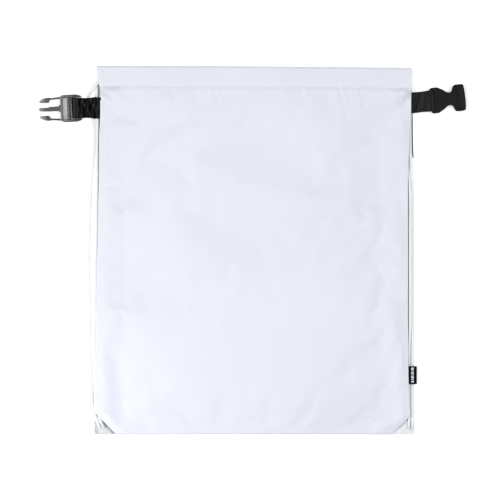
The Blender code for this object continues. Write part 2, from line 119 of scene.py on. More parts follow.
# ---------------- helpers
def link(name, data):
    made = bpy.data.objects.new(name, data)
    bpy.context.scene.collection.objects.link(made)
    return made


def mix(a, b, share):
    return a + (b - a) * share


def ramp(value, low, high):
    share = np.clip((value - low) / (high - low), 0.0, 1.0)
    return share * share * (3.0 - 2.0 * share)


def bell(value, centre, width):
    return np.exp(-((value - centre) / width) ** 2)


def new_mesh(name, points, faces, uv=None):
    mesh = bpy.data.meshes.new(name)
    mesh.from_pydata([tuple(p) for p in points], [], [tuple(int(i) for i in f) for f in faces])
    if uv is not None:
        layer = mesh.uv_layers.new(name="UVMap")
        loops = np.zeros(len(mesh.loops), dtype=np.int32)
        mesh.loops.foreach_get("vertex_index", loops)
        layer.data.foreach_set("uv", np.asarray(uv)[loops].astype(np.float32).ravel())
    mesh.update()
    return mesh


def mesh_from(name, body):
    """A mesh of the bmesh, which is freed."""
    mesh = bpy.data.meshes.new(name)
    body.to_mesh(mesh)
    body.free()
    return mesh


def smooth(made):
    made.data.polygons.foreach_set("use_smooth", [True] * len(made.data.polygons))
    return made


def solidify(made, thick):
    """Gives a sheet its thickness, half to each side."""
    shell = made.modifiers.new("thickness", "SOLIDIFY")
    shell.thickness = thick
    shell.offset = 0.0


def dress(made, look, body, node):
    """Gives a piece its material and the body it rides on, and hides the CAD node it stands for."""
    made.data.materials.append(look)
    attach(made, body)
    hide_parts(node)
    return made


def grid_faces(rows, columns):
    row, column = np.meshgrid(np.arange(rows - 1), np.arange(columns - 1), indexing="ij")
    start = (row * columns + column).ravel()
    return np.stack([start, start + 1, start + columns + 1, start + columns], axis=1)


# Smooth repeatable noise: sums of a few waves whose lengths and phases come from a fixed seed
def evened(total, count):
    """Brings a sum of count waves to about -1..1."""
    return total / math.sqrt(count / 2) / 1.6


def waves_1d(x, shortest, longest, count, seed):
    """Wandering value near -1..1 that varies over lengths from shortest to longest."""
    pick = np.random.default_rng(seed)
    total = np.zeros_like(np.asarray(x, dtype=float))
    for _ in range(count):
        length = math.exp(pick.uniform(math.log(shortest), math.log(longest)))
        total = total + np.sin(2 * math.pi * np.asarray(x) / length + pick.uniform(0, 2 * math.pi))
    return evened(total, count)


def waves_2d(x, y, shortest, longest, count, seed):
    pick = np.random.default_rng(seed)
    total = np.zeros(np.broadcast(x, y).shape)
    for _ in range(count):
        length = math.exp(pick.uniform(math.log(shortest), math.log(longest)))
        angle = pick.uniform(0, math.pi)
        along = (x * math.cos(angle) + y * math.sin(angle)) / length
        total = total + np.sin(2 * math.pi * along + pick.uniform(0, 2 * math.pi))
    return evened(total, count)


# ---------------- materials
class Nodes:
    """Short names for building one material's nodes."""

    def __init__(self, name, colour, roughness, **inputs):
        self.material = bpy.data.materials.new(name)
        self.material.use_nodes = True
        self.tree = self.material.node_tree
        self.shader = self.tree.nodes["Principled BSDF"]
        self.shader.inputs["Base Color"].default_value = (*colour, 1.0)
        self.shader.inputs["Roughness"].default_value = roughness
        for key, value in inputs.items():
            self.shader.inputs[key.replace("_", " ")].default_value = value

    def add(self, kind, values=None, **settings):
        node = self.tree.nodes.new(kind)
        for key, value in settings.items():
            setattr(node, key, value)
        for key, value in (values or {}).items():
            if isinstance(value, bpy.types.NodeSocket):
                self.tree.links.new(value, node.inputs[key])
            else:
                node.inputs[key].default_value = value
        return node

    def math(self, operation, a, b=0.0, c=0.0):
        node = self.add("ShaderNodeMath", operation=operation)
        for socket, value in zip(node.inputs, (a, b, c)):
            if isinstance(value, bpy.types.NodeSocket):
                self.tree.links.new(value, socket)
            else:
                socket.default_value = value
        return node.outputs[0]

    def axes(self, kind):
        """Coordinates of one kind, Object or UV: the vector, its x and its y."""
        place = self.add("ShaderNodeTexCoord").outputs[kind]
        split = self.add("ShaderNodeSeparateXYZ", {"Vector": place})
        return place, split.outputs["X"], split.outputs["Y"]

    def noise(self, place, scale, detail=2.0, roughness=0.5):
        node = self.add("ShaderNodeTexNoise", {
            "Vector": place, "Scale": scale, "Detail": detail, "Roughness": roughness})
        return node.outputs["Fac"]

    def ramp(self, value, stops):
        node = self.add("ShaderNodeValToRGB", {"Fac": value})
        band = node.color_ramp
        while len(band.elements) < len(stops):
            band.elements.new(0.5)
        for element, (at, colour) in zip(band.elements, stops):
            element.position = at
            element.color = (*colour, 1.0)
        return node.outputs["Color"]

    def bump(self, height, distance, strength=1.0, normal=None):
        values = {"Height": height, "Distance": distance, "Strength": strength}
        if normal is not None:
            values["Normal"] = normal
        return self.add("ShaderNodeBump", values).outputs["Normal"]

    def set(self, key, socket):
        self.tree.links.new(socket, self.shader.inputs[key])

    def wave(self, along, length, phase=0.0):
        """sin of one turn every length."""
        return self.math("SINE", self.math("MULTIPLY_ADD", along, 2 * math.pi / length, phase))


def woven_height(nodes, x, y, pitch):
    """Plain weave: threads of one direction rise where the other's dip."""
    over = nodes.wave(x, pitch)
    under = nodes.wave(y, pitch)
    return nodes.math("MULTIPLY", over, under)


def bag_cloth_material():
    """UV x is metres in from the panel's side edge, where a painted highlight lightens the cloth."""
    nodes = Nodes("bag_cloth", (0.745, 0.757, 0.826), 0.52, Sheen_Weight=0.12, Sheen_Roughness=0.4,
                  Sheen_Tint=(0.95, 0.96, 1.0, 1.0), Specular_IOR_Level=0.35)
    place, x, y = nodes.axes("Object")
    cloudy = nodes.noise(place, 9.0, 3.0)
    fine = nodes.noise(place, 900.0, 2.0)
    tone = nodes.math("MULTIPLY_ADD", fine, 0.35, nodes.math("MULTIPLY", cloudy, 0.65))
    # Painted highlight: the cloth is drawn lighter within a narrow width of its side edges.
    inset = nodes.math("MINIMUM", nodes.axes("UV")[1], HIGHLIGHT_RIM_WIDTH)
    rim = nodes.math("SUBTRACT", 1.0, nodes.math("MULTIPLY", inset, 1 / HIGHLIGHT_RIM_WIDTH))
    tone = nodes.math("ADD", nodes.math("MULTIPLY", tone, 0.7), nodes.math("MULTIPLY", rim, 0.5))
    nodes.set("Base Color", nodes.ramp(tone, (
        (0.21, (0.728, 0.742, 0.815)), (0.49, (0.764, 0.776, 0.840)), (0.90, (0.86, 0.87, 0.91)))))
    nodes.set("Roughness", nodes.math("MULTIPLY_ADD", cloudy, 0.14, 0.44))
    weave = woven_height(nodes, x, y, 0.0007)
    slub = nodes.noise(place, 350.0, 2.0)
    normal = nodes.bump(weave, 0.00004, 0.5)
    normal = nodes.bump(slub, 0.00012, 0.35, normal)
    wrinkle = nodes.noise(place, 38.0, 3.0, 0.55)
    normal = nodes.bump(wrinkle, 0.0011, 0.20, normal)
    nodes.set("Normal", normal)
    return nodes.material


def tab_cloth_material(name, blotch_depth, shade):
    """UV x is metres from the panel's slanting edge. The second argument sets how deep blotches darken the
    tab; shade sets a painted shadow of the front panel's raised edge, darkest at that edge and gone
    TAB_SHADE beyond it.
    """
    nodes = Nodes(name, (0.74, 0.76, 0.78), 0.65, Sheen_Weight=0.2)
    place, x, y = nodes.axes("Object")
    blotch = nodes.noise(place, 130.0, 3.0)
    # Painted shadow of the front panel's edge: darkest at the edge, fading out over TAB_SHADE.
    away = nodes.math("MINIMUM", nodes.math("MAXIMUM", nodes.axes("UV")[1], 0.0), TAB_SHADE)
    fold = nodes.math("MULTIPLY", away, 1 / TAB_SHADE)
    painted_shadow = nodes.math("MULTIPLY", nodes.math("SUBTRACT", 1.0, fold), shade)
    tone = nodes.math("SUBTRACT", nodes.math("MULTIPLY_ADD", blotch, blotch_depth, 1.0 - blotch_depth), painted_shadow)
    nodes.set("Base Color", nodes.ramp(tone, (
        (0.0, (0.16, 0.165, 0.17)), (0.55, (0.62, 0.64, 0.66)), (1.0, (0.86, 0.875, 0.89)))))
    weave = woven_height(nodes, x, y, 0.0011)
    nodes.set("Normal", nodes.bump(blotch, 0.0006, 0.5, nodes.bump(weave, 0.00008, 0.6)))
    return nodes.material


def cord_material():
    """UV x is metres along the cord, y is metres round it."""
    nodes = Nodes("cord_braid", (0.84, 0.85, 0.86), 0.72, Sheen_Weight=0.3)
    u, v = nodes.axes("UV")[1:]
    pitch = 0.0024
    lean = 2 * math.pi * CORD_RADIUS / 4
    one = nodes.wave(nodes.math("MULTIPLY_ADD", v, pitch / lean, u), pitch)
    other = nodes.wave(nodes.math("MULTIPLY_ADD", v, -pitch / lean, u), pitch)
    braid = nodes.math("MULTIPLY", one, other)
    shade = nodes.math("MULTIPLY_ADD", braid, 0.5, 0.5)
    # The ramp's dark low end paints shade into the crevices between the braid's strands.
    nodes.set("Base Color", nodes.ramp(shade, (
        (0.0, (0.60, 0.61, 0.63)), (0.22, (0.92, 0.925, 0.93)), (1.0, (0.96, 0.962, 0.965)))))
    fuzz = nodes.noise(nodes.axes("Object")[0], 1800.0, 2.0)
    nodes.set("Normal", nodes.bump(fuzz, 0.00008, 0.35, nodes.bump(braid, 0.00022, 0.6)))
    return nodes.material


def webbing_material():
    """UV x is metres along the tape, y is metres across it."""
    nodes = Nodes("webbing", (0.004, 0.004, 0.005), 0.27, Specular_IOR_Level=0.15)
    u, v = nodes.axes("UV")[1:]
    ribs = nodes.wave(v, 0.0016)
    picks = nodes.wave(nodes.math("MULTIPLY_ADD", ribs, 0.0004, u), 0.0015)
    weave = nodes.math("MULTIPLY_ADD", picks, 0.5, nodes.math("MULTIPLY", ribs, 0.5))
    shade = nodes.math("MULTIPLY_ADD", weave, 0.5, 0.5)
    nodes.set("Base Color", nodes.ramp(shade, (
        (0.1, (0.001, 0.001, 0.0012)), (0.9, (0.0065, 0.0065, 0.0076)))))
    nodes.set("Normal", nodes.bump(weave, 0.00012, 0.6))
    return nodes.material


def plastic_material(name, colour, roughness, grain, shine):
    nodes = Nodes(name, colour, roughness, Specular_IOR_Level=shine)
    place = nodes.axes("Object")[0]
    spark = nodes.noise(place, 1400.0, 2.0)
    wear = nodes.noise(place, 120.0, 4.0, 0.6)
    low = tuple(c * 0.8 for c in colour)
    high = tuple(c * 1.25 for c in colour)
    nodes.set("Base Color", nodes.ramp(wear, ((0.35, low), (0.65, high))))
    nodes.set("Roughness", nodes.math("MULTIPLY_ADD", wear, 0.16, roughness - 0.08))
    nodes.set("Normal", nodes.bump(spark, 0.00006, grain))
    return nodes.material


def label_material():
    nodes = Nodes("label_weave", (0.006, 0.007, 0.012), 0.7, Specular_IOR_Level=0.05)
    x, y = nodes.axes("Object")[1:]
    weave = woven_height(nodes, x, y, 0.0005)
    shade = nodes.math("MULTIPLY_ADD", weave, 0.5, 0.5)
    nodes.set("Base Color", nodes.ramp(shade, (
        (0.1, (0.001, 0.0015, 0.004)), (0.9, (0.004, 0.005, 0.012)))))
    nodes.set("Normal", nodes.bump(weave, 0.0001, 0.7))
    return nodes.material


def thread_material(name, colour, sheen):
    nodes = Nodes(name, colour, 0.6, Sheen_Weight=sheen, Specular_IOR_Level=0.2 + sheen)
    place = nodes.axes("Object")[0]
    twist = nodes.noise(place, 2500.0, 2.0)
    low = tuple(c * 0.75 for c in colour)
    nodes.set("Base Color", nodes.ramp(twist, ((0.35, low), (0.65, colour))))
    nodes.set("Normal", nodes.bump(twist, 0.0001, 0.6))
    return nodes.material


CLOTH_LOOK = bag_cloth_material()
# The left tab gets deeper blotches and a deeper painted shadow than the right.
LEFT_TAB_LOOK = tab_cloth_material("left_tab_cloth", 0.95, 0.50)
RIGHT_TAB_LOOK = tab_cloth_material("right_tab_cloth", 0.25, 0.15)
CORD_LOOK = cord_material()
TAPE_LOOK = webbing_material()
MALE_LOOK = plastic_material("male_plastic", (0.028, 0.028, 0.030), 0.30, 0.25, 0.7)
FEMALE_LOOK = plastic_material("female_plastic", (0.0040, 0.0040, 0.0045), 0.46, 0.5, 0.11)
LABEL_LOOK = label_material()
WHITE_THREAD = thread_material("white_thread", (0.74, 0.75, 0.80), 0.3)
BLACK_THREAD = thread_material("black_thread", (0.004, 0.004, 0.0045), 0.0)
LABEL_THREAD = thread_material("label_thread", (0.80, 0.81, 0.86), 0.3)


# ---------------- camera, light and floor
# The floor is a light table: it glows a little, except in two rectangles, under the bag and under the slot
# of the male half, where the missing glow paints shade: dark gaps along the bag's edges and a grey slot.
# Each is (middle x, middle y, half x, half y, fade), in metres.
PAINTED_SHADE_UNDER_BAG = (0.0, 0.0, 0.1785, 0.2085, 0.003)
PAINTED_SHADE_UNDER_SLOT = (-0.2155, 0.1628, 0.0052, 0.0130, 0.001)
SKY = 0.24
LIGHTS = (
    ("left", (-1.00, 0.25, 1.95), (0, 0, 0), (0.55, 0.9), 18.3, (1.0, 0.995, 0.99)),
    ("right", (1.00, 0.25, 1.95), (0, 0, 0), (0.55, 0.9), 19.4, (0.98, 0.99, 1.0)),
    ("foot", (-0.10, -1.05, 1.60), (0, 0, 0), (0.8, 0.5), 4.0, (0.97, 0.985, 1.0)),
    ("corner", (-0.50, -0.43, 0.36), (-0.17, -0.13, 0), (0.24, 0.24), 1.35, (0.98, 0.99, 1.0)),
)
FLOOR_GLOW = 0.35
CAMERA = (-0.00514, 0.0008, 2.4)
VIEW_WIDTH = 0.571  # metres across the picture at 6 mm above the floor


def camera():
    data = bpy.data.cameras.new("camera")
    made = link("camera", data)
    data.sensor_width = 36.0
    data.lens = data.sensor_width * (CAMERA[2] - 0.006) / VIEW_WIDTH
    data.clip_start, data.clip_end = 0.1, 20.0
    made.location = CAMERA
    bpy.context.scene.camera = made


def area_light(name, place, aim, size, power, colour):
    data = bpy.data.lights.new(name, "AREA")
    data.shape = "RECTANGLE"
    data.size, data.size_y = size
    data.energy = power
    data.color = colour
    made = link(name, data)
    made.location = place
    made.visible_camera = False
    made.rotation_mode = "QUATERNION"
    made.rotation_quaternion = (Vector(aim) - Vector(place)).to_track_quat("-Z", "Y")


def studio():
    world = bpy.data.worlds.new("studio")
    world.use_nodes = True
    sky = world.node_tree.nodes["Background"]
    sky.inputs["Color"].default_value = (0.95, 0.97, 1.0, 1.0)
    sky.inputs["Strength"].default_value = SKY
    bpy.context.scene.world = world
    for values in LIGHTS:
        area_light(*values)
    body = bmesh.new()
    bmesh.ops.create_grid(body, x_segments=2, y_segments=2, size=6.0)
    floor = link("floor", mesh_from("floor", body))
    floor.location.z = -0.0002
    look = Nodes("floor", (0.93, 0.93, 0.93), 0.9, Emission_Color=(1.0, 1.0, 1.0, 1.0))
    place, x, y = look.axes("Object")

    def outside(middle_x, middle_y, half_x, half_y, fade):
        """0 in the rectangle, rising to 1 over fade metres beyond it."""
        past = []
        for axis, middle, half in ((x, middle_x, half_x), (y, middle_y, half_y)):
            away = look.math("ABSOLUTE", look.math("ADD", axis, -middle))
            past.append(look.math("MULTIPLY_ADD", away, 1 / fade, -half / fade))
        return look.math("MINIMUM", look.math("MAXIMUM", look.math("MAXIMUM", *past), 0.0), 1.0)

    # No glow in the two rectangles: painted shade under the bag and in the male half's slot.
    glow = look.math("MULTIPLY", outside(*PAINTED_SHADE_UNDER_BAG), outside(*PAINTED_SHADE_UNDER_SLOT))
    look.set("Emission Strength", look.math("MULTIPLY", glow, FLOOR_GLOW))
    look.set("Base Color", look.ramp(look.noise(place, 3.0), (
        (0.3, (0.925, 0.925, 0.925)), (0.7, (0.935, 0.935, 0.935)))))
    floor.data.materials.append(look.material)
    settings = bpy.context.scene.view_settings
    settings.view_transform = "Standard"
    settings.look = "None"
    settings.exposure = 0.0


camera()
studio()


# ---------------- cords
def centripetal(before, start, end, after):
    a = max((start - before).length, 1e-9) ** 0.5
    b = max((end - start).length, 1e-9) ** 0.5
    c = max((after - end).length, 1e-9) ** 0.5
    leave = (start - before) / a - (end - before) / (a + b) + (end - start) / b
    arrive = (end - start) / b - (after - start) / (b + c) + (after - end) / c
    return leave * b, arrive * b


def hermite(start, end, leave, arrive, t):
    t2, t3 = t * t, t * t * t
    return (
        start * (2 * t3 - 3 * t2 + 1) + leave * (t3 - 2 * t2 + t)
        + end * (3 * t2 - 2 * t3) + arrive * (t3 - t2)
    )


def smooth_path(route, spacing):
    ends = [2 * route[0] - route[1], *route, 2 * route[-1] - route[-2]]
    path = []
    for before, start, end, after in zip(ends, ends[1:], ends[2:], ends[3:]):
        steps = max(2, math.ceil((end - start).length / spacing))
        leave, arrive = centripetal(before, start, end, after)
        path += [hermite(start, end, leave, arrive, i / steps) for i in range(steps)]
    path.append(route[-1])
    return path


def tube(name, path, radius, sides=12):
    """A tube along path, closed at both ends, with UVs in metres: x along it, y round it."""
    line = np.array([tuple(p) for p in path])
    ahead = np.gradient(line, axis=0)
    ahead /= np.linalg.norm(ahead, axis=1)[:, None]
    side = np.cross(ahead[0], (0.0, 0.0, 1.0))
    side /= np.linalg.norm(side)
    run = np.concatenate([[0], np.cumsum(np.linalg.norm(np.diff(line, axis=0), axis=1))])
    points, uv = [], []
    for centre, way, length in zip(line, ahead, run):
        side = side - way * side.dot(way)
        side /= np.linalg.norm(side)
        up = np.cross(side, way)
        for k in range(sides + 1):
            turn = 2 * math.pi * k / sides
            points.append(centre + radius * (math.cos(turn) * side + math.sin(turn) * up))
            uv.append((length, turn * radius))
    mesh = new_mesh(name, points, grid_faces(len(line), sides + 1), uv)
    body = bmesh.new()
    body.from_mesh(mesh)
    bmesh.ops.remove_doubles(body, verts=body.verts, dist=1e-7)
    bmesh.ops.holes_fill(body, edges=[e for e in body.edges if e.is_boundary], sides=sides + 2)
    bmesh.ops.recalc_face_normals(body, faces=body.faces)
    body.to_mesh(mesh)
    body.free()
    return smooth(link(name, mesh)), run[-1]


def draw_cord(name, node, route):
    path = smooth_path([Vector(p) / 1000 for p in route], 0.0024)
    made, length = tube(name, path, CORD_RADIUS)
    dress(made, CORD_LOOK, "bag", node)
    return path


left_path = draw_cord("left_cord", "left_draw_cord", LEFT_CORD_ROUTE)
right_path = draw_cord("right_cord", "right_draw_cord", RIGHT_CORD_ROUTE)


# ---------------- cloth panels
def edge_x(y, table):
    ys, xs = zip(*table)
    base = np.interp(y, ys, xs)
    soft = np.interp(y + 0.003, ys, xs) + np.interp(y - 0.003, ys, xs)
    return np.where(y > -0.18, (base + soft) / 3, base)


def back_height(y, inset):
    lift = EDGE_LIFT * (1 - ramp(y, SEAM_TOP, HEM_FULL))
    lift = mix(CORNER_LIFT, lift, ramp(y, BOTTOM, -0.190))
    return CLOTH / 2 + lift * (1 - ramp(inset, 0.006, 0.036))


def mouth_gap(x):
    return 0.0006 + 0.0049 * (0.5 + 0.5 * np.cos(math.pi * x / 0.180))


def front_height(x, y, inset):
    side = np.sin(math.pi / 2 * np.minimum(inset / 0.120, 1.0))
    foot = np.sin(math.pi / 2 * np.minimum((y - BOTTOM) / 0.120, 1.0))
    pillow = SEAM_STEP + CROWN * side * np.maximum(foot, 0.0)
    hem = 4 * HEM_RADIUS + CLOTH + mouth_gap(x)
    share = ramp(y, mix(SEAM_TOP, 0.080, side), HEM_FULL)
    return back_height(y, inset) + mix(pillow, hem, share)


def line_fold(x, y, start, end, high, width, tail=0.25):
    """A ridge from start to end, in metres: high at the start and fading towards the end."""
    ax, ay = start
    bx, by = end
    length = math.hypot(bx - ax, by - ay)
    ux, uy = (bx - ax) / length, (by - ay) / length
    along = (x - ax) * ux + (y - ay) * uy
    across = -(x - ax) * uy + (y - ay) * ux
    share = np.clip(along / length, -0.3, 1.3)
    body = ramp(share, -0.12, 0.08) * (1 - ramp(share, tail, 1.0))
    wide = width * (1 + 0.8 * np.clip(share, 0, 1))
    return high * body * bell(across, 0.0, wide)


def puckers(x, y, seed):
    """Short gathers that the hem's stitching pulls into the cloth on both sides of it."""
    below = HEM_STITCH - y
    depth = 0.5 + 0.5 * waves_1d(x, 0.022, 0.075, 6, seed)
    depth = np.clip(depth, 0.08, 1.0)
    teeth = waves_1d(x + 0.25 * (y - HEM_STITCH), 0.0060, 0.0150, 5, seed + 1)
    reach = 0.0085 + 0.010 * depth
    down = np.where(below >= 0, np.exp(-np.maximum(below, 0) / reach),
                    np.exp(-np.maximum(-below, 0) / 0.006))
    return 0.00055 * teeth * depth * down


def seam_pull(y, inset):
    """How far the seam draws each panel towards the other."""
    near = np.minimum(inset, np.maximum(y - BOTTOM, 0.0))
    return 0.00036 * np.exp(-(near / 0.0016) ** 2) * (1 - ramp(y, 0.170, SEAM_TOP))


def tape_window(x, y, inset):
    """1 where a webbing loop enters the side seam, fading inwards."""
    left = ramp(y, 0.1465, 0.1530) * (1 - ramp(y, 0.1735, 0.1790)) * (x < 0)
    right = ramp(y, 0.1525, 0.1585) * (1 - ramp(y, 0.1785, 0.1830)) * (x > 0)
    return (left + right) * np.exp(-(inset / 0.0060) ** 2)


FRONT_FOLDS = (  # start, end, height, width and tail of line_fold
    ((-0.1765, 0.1800), (-0.1490, 0.1730), 0.0021, 0.0032),
    ((-0.1765, 0.1755), (-0.1560, 0.1590), -0.0015, 0.0042),
    ((-0.1700, 0.1600), (-0.1720, 0.0200), 0.0007, 0.0028, 0.5),
    ((0.1790, 0.1760), (0.1610, 0.1850), 0.0016, 0.0030),
    ((0.1790, 0.1710), (0.1640, 0.1700), -0.0010, 0.0050),
    ((-0.1500, -0.2050), (-0.1000, -0.1500), 0.0010, 0.0090),
    ((0.1480, -0.2050), (0.1000, -0.1500), 0.0009, 0.0090),
)


def front_detail(x, y, inset):
    """Creases, gathers and slack of the front panel on top of its plain shape."""
    seam = ramp(inset, 0.0, 0.012) * ramp(y, BOTTOM, BOTTOM + 0.012)
    high = 0.0011 * waves_2d(x, y, 0.090, 0.260, 8, 3) * seam
    high += 0.00022 * waves_2d(x, y, 0.018, 0.050, 9, 5) * seam
    high += puckers(x, y, 11)
    high += 0.0019 * tape_window(x, y, inset)
    high -= seam_pull(y, inset)
    high -= 0.0008 * bell(y, HEM_STITCH, 0.0021)
    for fold in FRONT_FOLDS:
        high += line_fold(x, y, *fold)
    return high


def back_detail(x, y, inset):
    seam = ramp(inset, 0.0, 0.02)
    high = 0.00010 * waves_2d(x, y, 0.05, 0.2, 8, 9) * seam
    high -= 0.0014 * tape_window(x, y, inset)
    high += seam_pull(y, inset)
    return high - puckers(x, y, 31) * 0.6 + 0.0009 * bell(y, HEM_STITCH, 0.0021)


def panel_edges(y, front):
    right = edge_x(y, RIGHT_EDGE)
    if not front:
        right = right - SLIT_DEPTH * ramp(y, SEAM_TOP, 0.1820) * (1 - ramp(y, 0.1870, 0.1940))
    return edge_x(y, LEFT_EDGE), right - 0.0020 * ramp(y, HEM_TOP - 0.0030, HEM_TOP + 0.0010) ** 2


def panel(name, node, front, across, along, detail):
    """One panel with its hem turned in: rows of (y, angle round the turn, drop below the outer face)."""
    turn_at = HEM_TOP - CLOTH / 2 - HEM_RADIUS
    body = list(np.linspace(BOTTOM, HEM_STITCH - 0.02, along))
    body += list(np.linspace(HEM_STITCH - 0.02, turn_at, along // 4 + 8))[1:]
    rows = [(y, None, 0.0) for y in body]
    rows += [(turn_at, angle, 0.0) for angle in np.linspace(0, 180, 13)[1:]]
    hem = 2 * HEM_RADIUS
    rows += [(y, None, hem) for y in np.linspace(turn_at, HEM_STITCH + 0.0024, 10)[1:]]
    rows += [(HEM_STITCH + 0.0012, None, 0.55 * hem), (HEM_STITCH, None, 0.0009)]
    rows += [(HEM_STITCH - 0.0030, None, 0.0007)]
    t = np.linspace(-1, 1, across)
    share = 0.5 + 0.5 * np.sign(t) * (1 - (1 - np.abs(t)) ** 1.25)
    points, uv = [], []
    for y, angle, drop in rows:
        level = np.full(across, y)
        left, right = panel_edges(level, front)
        x = mix(left, right, share)
        flap = mix(-FLAP, FLAP, share)
        yy = level
        if angle is not None:
            turn = math.radians(angle)
            yy = yy + HEM_RADIUS * math.sin(turn)
            drop = HEM_RADIUS * (1 - math.cos(turn))
            x = mix(x, flap, ramp(angle, 90, 180))
        elif drop:
            x = flap
        inset = np.minimum(x - left, right - x)
        high = front_height(x, level, inset) if front else back_height(level, inset)
        extra = detail(x, level, np.maximum(inset, 0))
        if drop:
            extra = extra * (1 - min(drop / hem, 1.0) * 0.8)
        high = high + (-drop if front else drop) + extra
        slope = MOUTH_SLOPE * x * ramp(yy, 0.0, 0.18)
        place = np.stack([x, yy + slope, high], axis=1)
        if front and angle is None and not drop and y < HEM_STITCH:
            place = place + slack_at(slack, share, y)
        points += list(place)
        uv += list(np.stack([np.maximum(inset, 0.0), yy], axis=1))
    mesh = new_mesh(name, points, grid_faces(len(rows), across), uv)
    made = smooth(link(name, mesh))
    if not front:
        mesh.flip_normals()
    solidify(made, 0.00045)
    return dress(made, CLOTH_LOOK, "bag", node)


def slack_field(across=87, along=92):
    """How far the front panel's spare cloth moves: pinned all round, 0.5 % too long, blown from inside."""
    shares = np.linspace(0, 1, across)
    ys = np.linspace(BOTTOM, HEM_STITCH, along)
    points = []
    for y in ys:
        level = np.full(across, y)
        left, right = panel_edges(level, True)
        x = mix(left, right, shares)
        inset = np.maximum(np.minimum(x - left, right - x), 0)
        high = front_height(x, level, inset) + front_detail(x, level, inset)
        points += list(np.stack([x, level, high], axis=1))
    start = np.array(points)
    made = link("slack", new_mesh("slack", points, grid_faces(along, across)))
    held = made.vertex_groups.new(name="held")
    row, column = np.divmod(np.arange(along * across), across)
    border = np.minimum.reduce([row, along - 1 - row, column, across - 1 - column])
    held.add([int(i) for i in np.nonzero(border < 1)[0]], 1.0, "REPLACE")
    held.add([int(i) for i in np.nonzero(border == 1)[0]], 0.6, "REPLACE")
    cloth = made.modifiers.new("cloth", "CLOTH")
    for key, value in dict(
            quality=6, mass=0.12, tension_stiffness=18.0, compression_stiffness=18.0, shear_stiffness=6.0,
            bending_stiffness=0.35, air_damping=2.0, vertex_group_mass="held", shrink_min=-0.005,
            use_pressure=True, uniform_pressure_force=0.25).items():
        setattr(cloth.settings, key, value)
    cloth.settings.effector_weights.gravity = 0.0
    cloth.collision_settings.use_collision = False
    cloth.collision_settings.use_self_collision = False
    cloth.point_cache.frame_start = 1
    cloth.point_cache.frame_end = SLACK_FRAMES
    for at in range(1, SLACK_FRAMES + 1):
        bpy.context.scene.frame_set(at)
    settled = made.evaluated_get(bpy.context.evaluated_depsgraph_get()).data
    flat = np.zeros(3 * along * across)
    settled.vertices.foreach_get("co", flat)
    bpy.context.scene.frame_set(1)
    bpy.data.objects.remove(made, do_unlink=True)
    moved = flat.reshape(-1, 3) - start
    far = np.linalg.norm(moved, axis=1)
    moved *= (np.minimum(far, SLACK_CAP) / np.maximum(far, 1e-9))[:, None]
    return moved.reshape(along, across, 3)


def slack_at(field, share, y):
    """The settled cloth's movement at the given shares of one row."""
    along, across = field.shape[:2]
    row = np.clip((y - BOTTOM) / (HEM_STITCH - BOTTOM) * (along - 1), 0, along - 1.001)
    column = np.clip(share * (across - 1), 0, across - 1.001)
    r, c = int(row), column.astype(int)
    fr, fc = row - r, (column - c)[:, None]
    low = mix(field[r][c], field[r][c + 1], fc)
    high = mix(field[r + 1][c], field[r + 1][c + 1], fc)
    return mix(low, high, fr)


slack = slack_field()
coarse = 1
front_cloth = panel("front_cloth", "front_panel", True, 181 // coarse, 190 // coarse, front_detail)
back_cloth = panel("back_cloth", "back_panel", False, 121 // coarse, 110 // coarse, back_detail)


# ---------------- webbing loops
def webbing_loop(name, node, body, root, bar_at, turn, folds, width, slack):
    """Tape out from the seam, round the bar and back. folds is (length, lean, phase, height), width is
    (distance from the seam, half width) pairs, and slack is how far it stands off the bar."""
    long, lean, phase, tall = folds
    reach = Vector((bar_at.x - root.x, bar_at.y - root.y)).length
    loop = 0.00165 + TAPE / 2

    def middle(s_at):
        return mix(root.z, bar_at.z, float(ramp(s_at, 0.009, reach)))

    def half(s_at):
        return mix(0.0008, loop, float(ramp(s_at, 0.010, reach - 0.001)))

    legs = np.linspace(-0.0012, reach, 46)[:-1]
    path = [(s_at, middle(s_at) - half(s_at), -1) for s_at in legs]
    path += [(reach + (loop + slack) * math.cos(a), bar_at.z + loop * math.sin(a), 0)
             for a in np.linspace(-math.pi / 2, math.pi / 2, 13)]
    path += [(s_at, middle(s_at) + half(s_at), 1) for s_at in reversed(legs)]
    run = np.concatenate([[0], np.cumsum([
        math.hypot(q[0] - p[0], q[1] - p[1]) for p, q in zip(path, path[1:])])])
    columns = 19
    points, uv = [], []
    for (s_at, high, layer), length in zip(path, run):
        twist = turn * min(max(s_at / (reach - 0.0085), 0.0), 1.0)
        line = root.lerp(bar_at, s_at / reach)
        broad = float(np.interp(s_at, *zip(*width)))
        for k in range(columns):
            across = mix(-broad, broad, k / (columns - 1))
            ease = float(ramp(s_at, 0.0025, 0.0055) * (1 - ramp(s_at, reach - 0.0045, reach - 0.002)))
            wave = math.sin(s_at * 2 * math.pi / long + across * lean + phase)
            wave += 0.4 * math.sin(s_at * 2 * math.pi / (long * 0.61) - across * lean * 1.7)
            lift = ease * tall * wave * (1.0 if layer >= 0 else 0.35)
            points.append((
                line.x - math.sin(twist) * across, line.y + math.cos(twist) * across, high + lift))
            uv.append((length, across))
    mesh = new_mesh(name, points, grid_faces(len(path), columns), uv)
    made = smooth(link(name, mesh))
    solidify(made, TAPE)
    rim = made.modifiers.new("selvedge", "BEVEL")
    rim.width = 0.00035
    rim.segments = 2
    rim.limit_method = "ANGLE"
    dress(made, TAPE_LOOK, body, node)


webbing_loop("left_webbing", "left_strap", "left_loop", LEFT_ROOT, MALE_BAR, MALE_TURN,
             (0.0066, 120.0, 0.4, 0.00125),
             ((-0.002, 0.0114), (0.001, 0.0120), (0.006, 0.0123), (0.013, 0.0113), (0.019, 0.0113),
              (0.023, 0.0119)), 0.0013)
webbing_loop("right_webbing", "right_strap", "right_loop", RIGHT_ROOT, FEMALE_BAR, FEMALE_TURN,
             (0.0056, 60.0, 2.0, 0.00013),
             ((-0.002, 0.0114), (0.001, 0.0119), (0.003, 0.0119), (0.012, 0.0116), (0.022, 0.0121)), 0.0002)


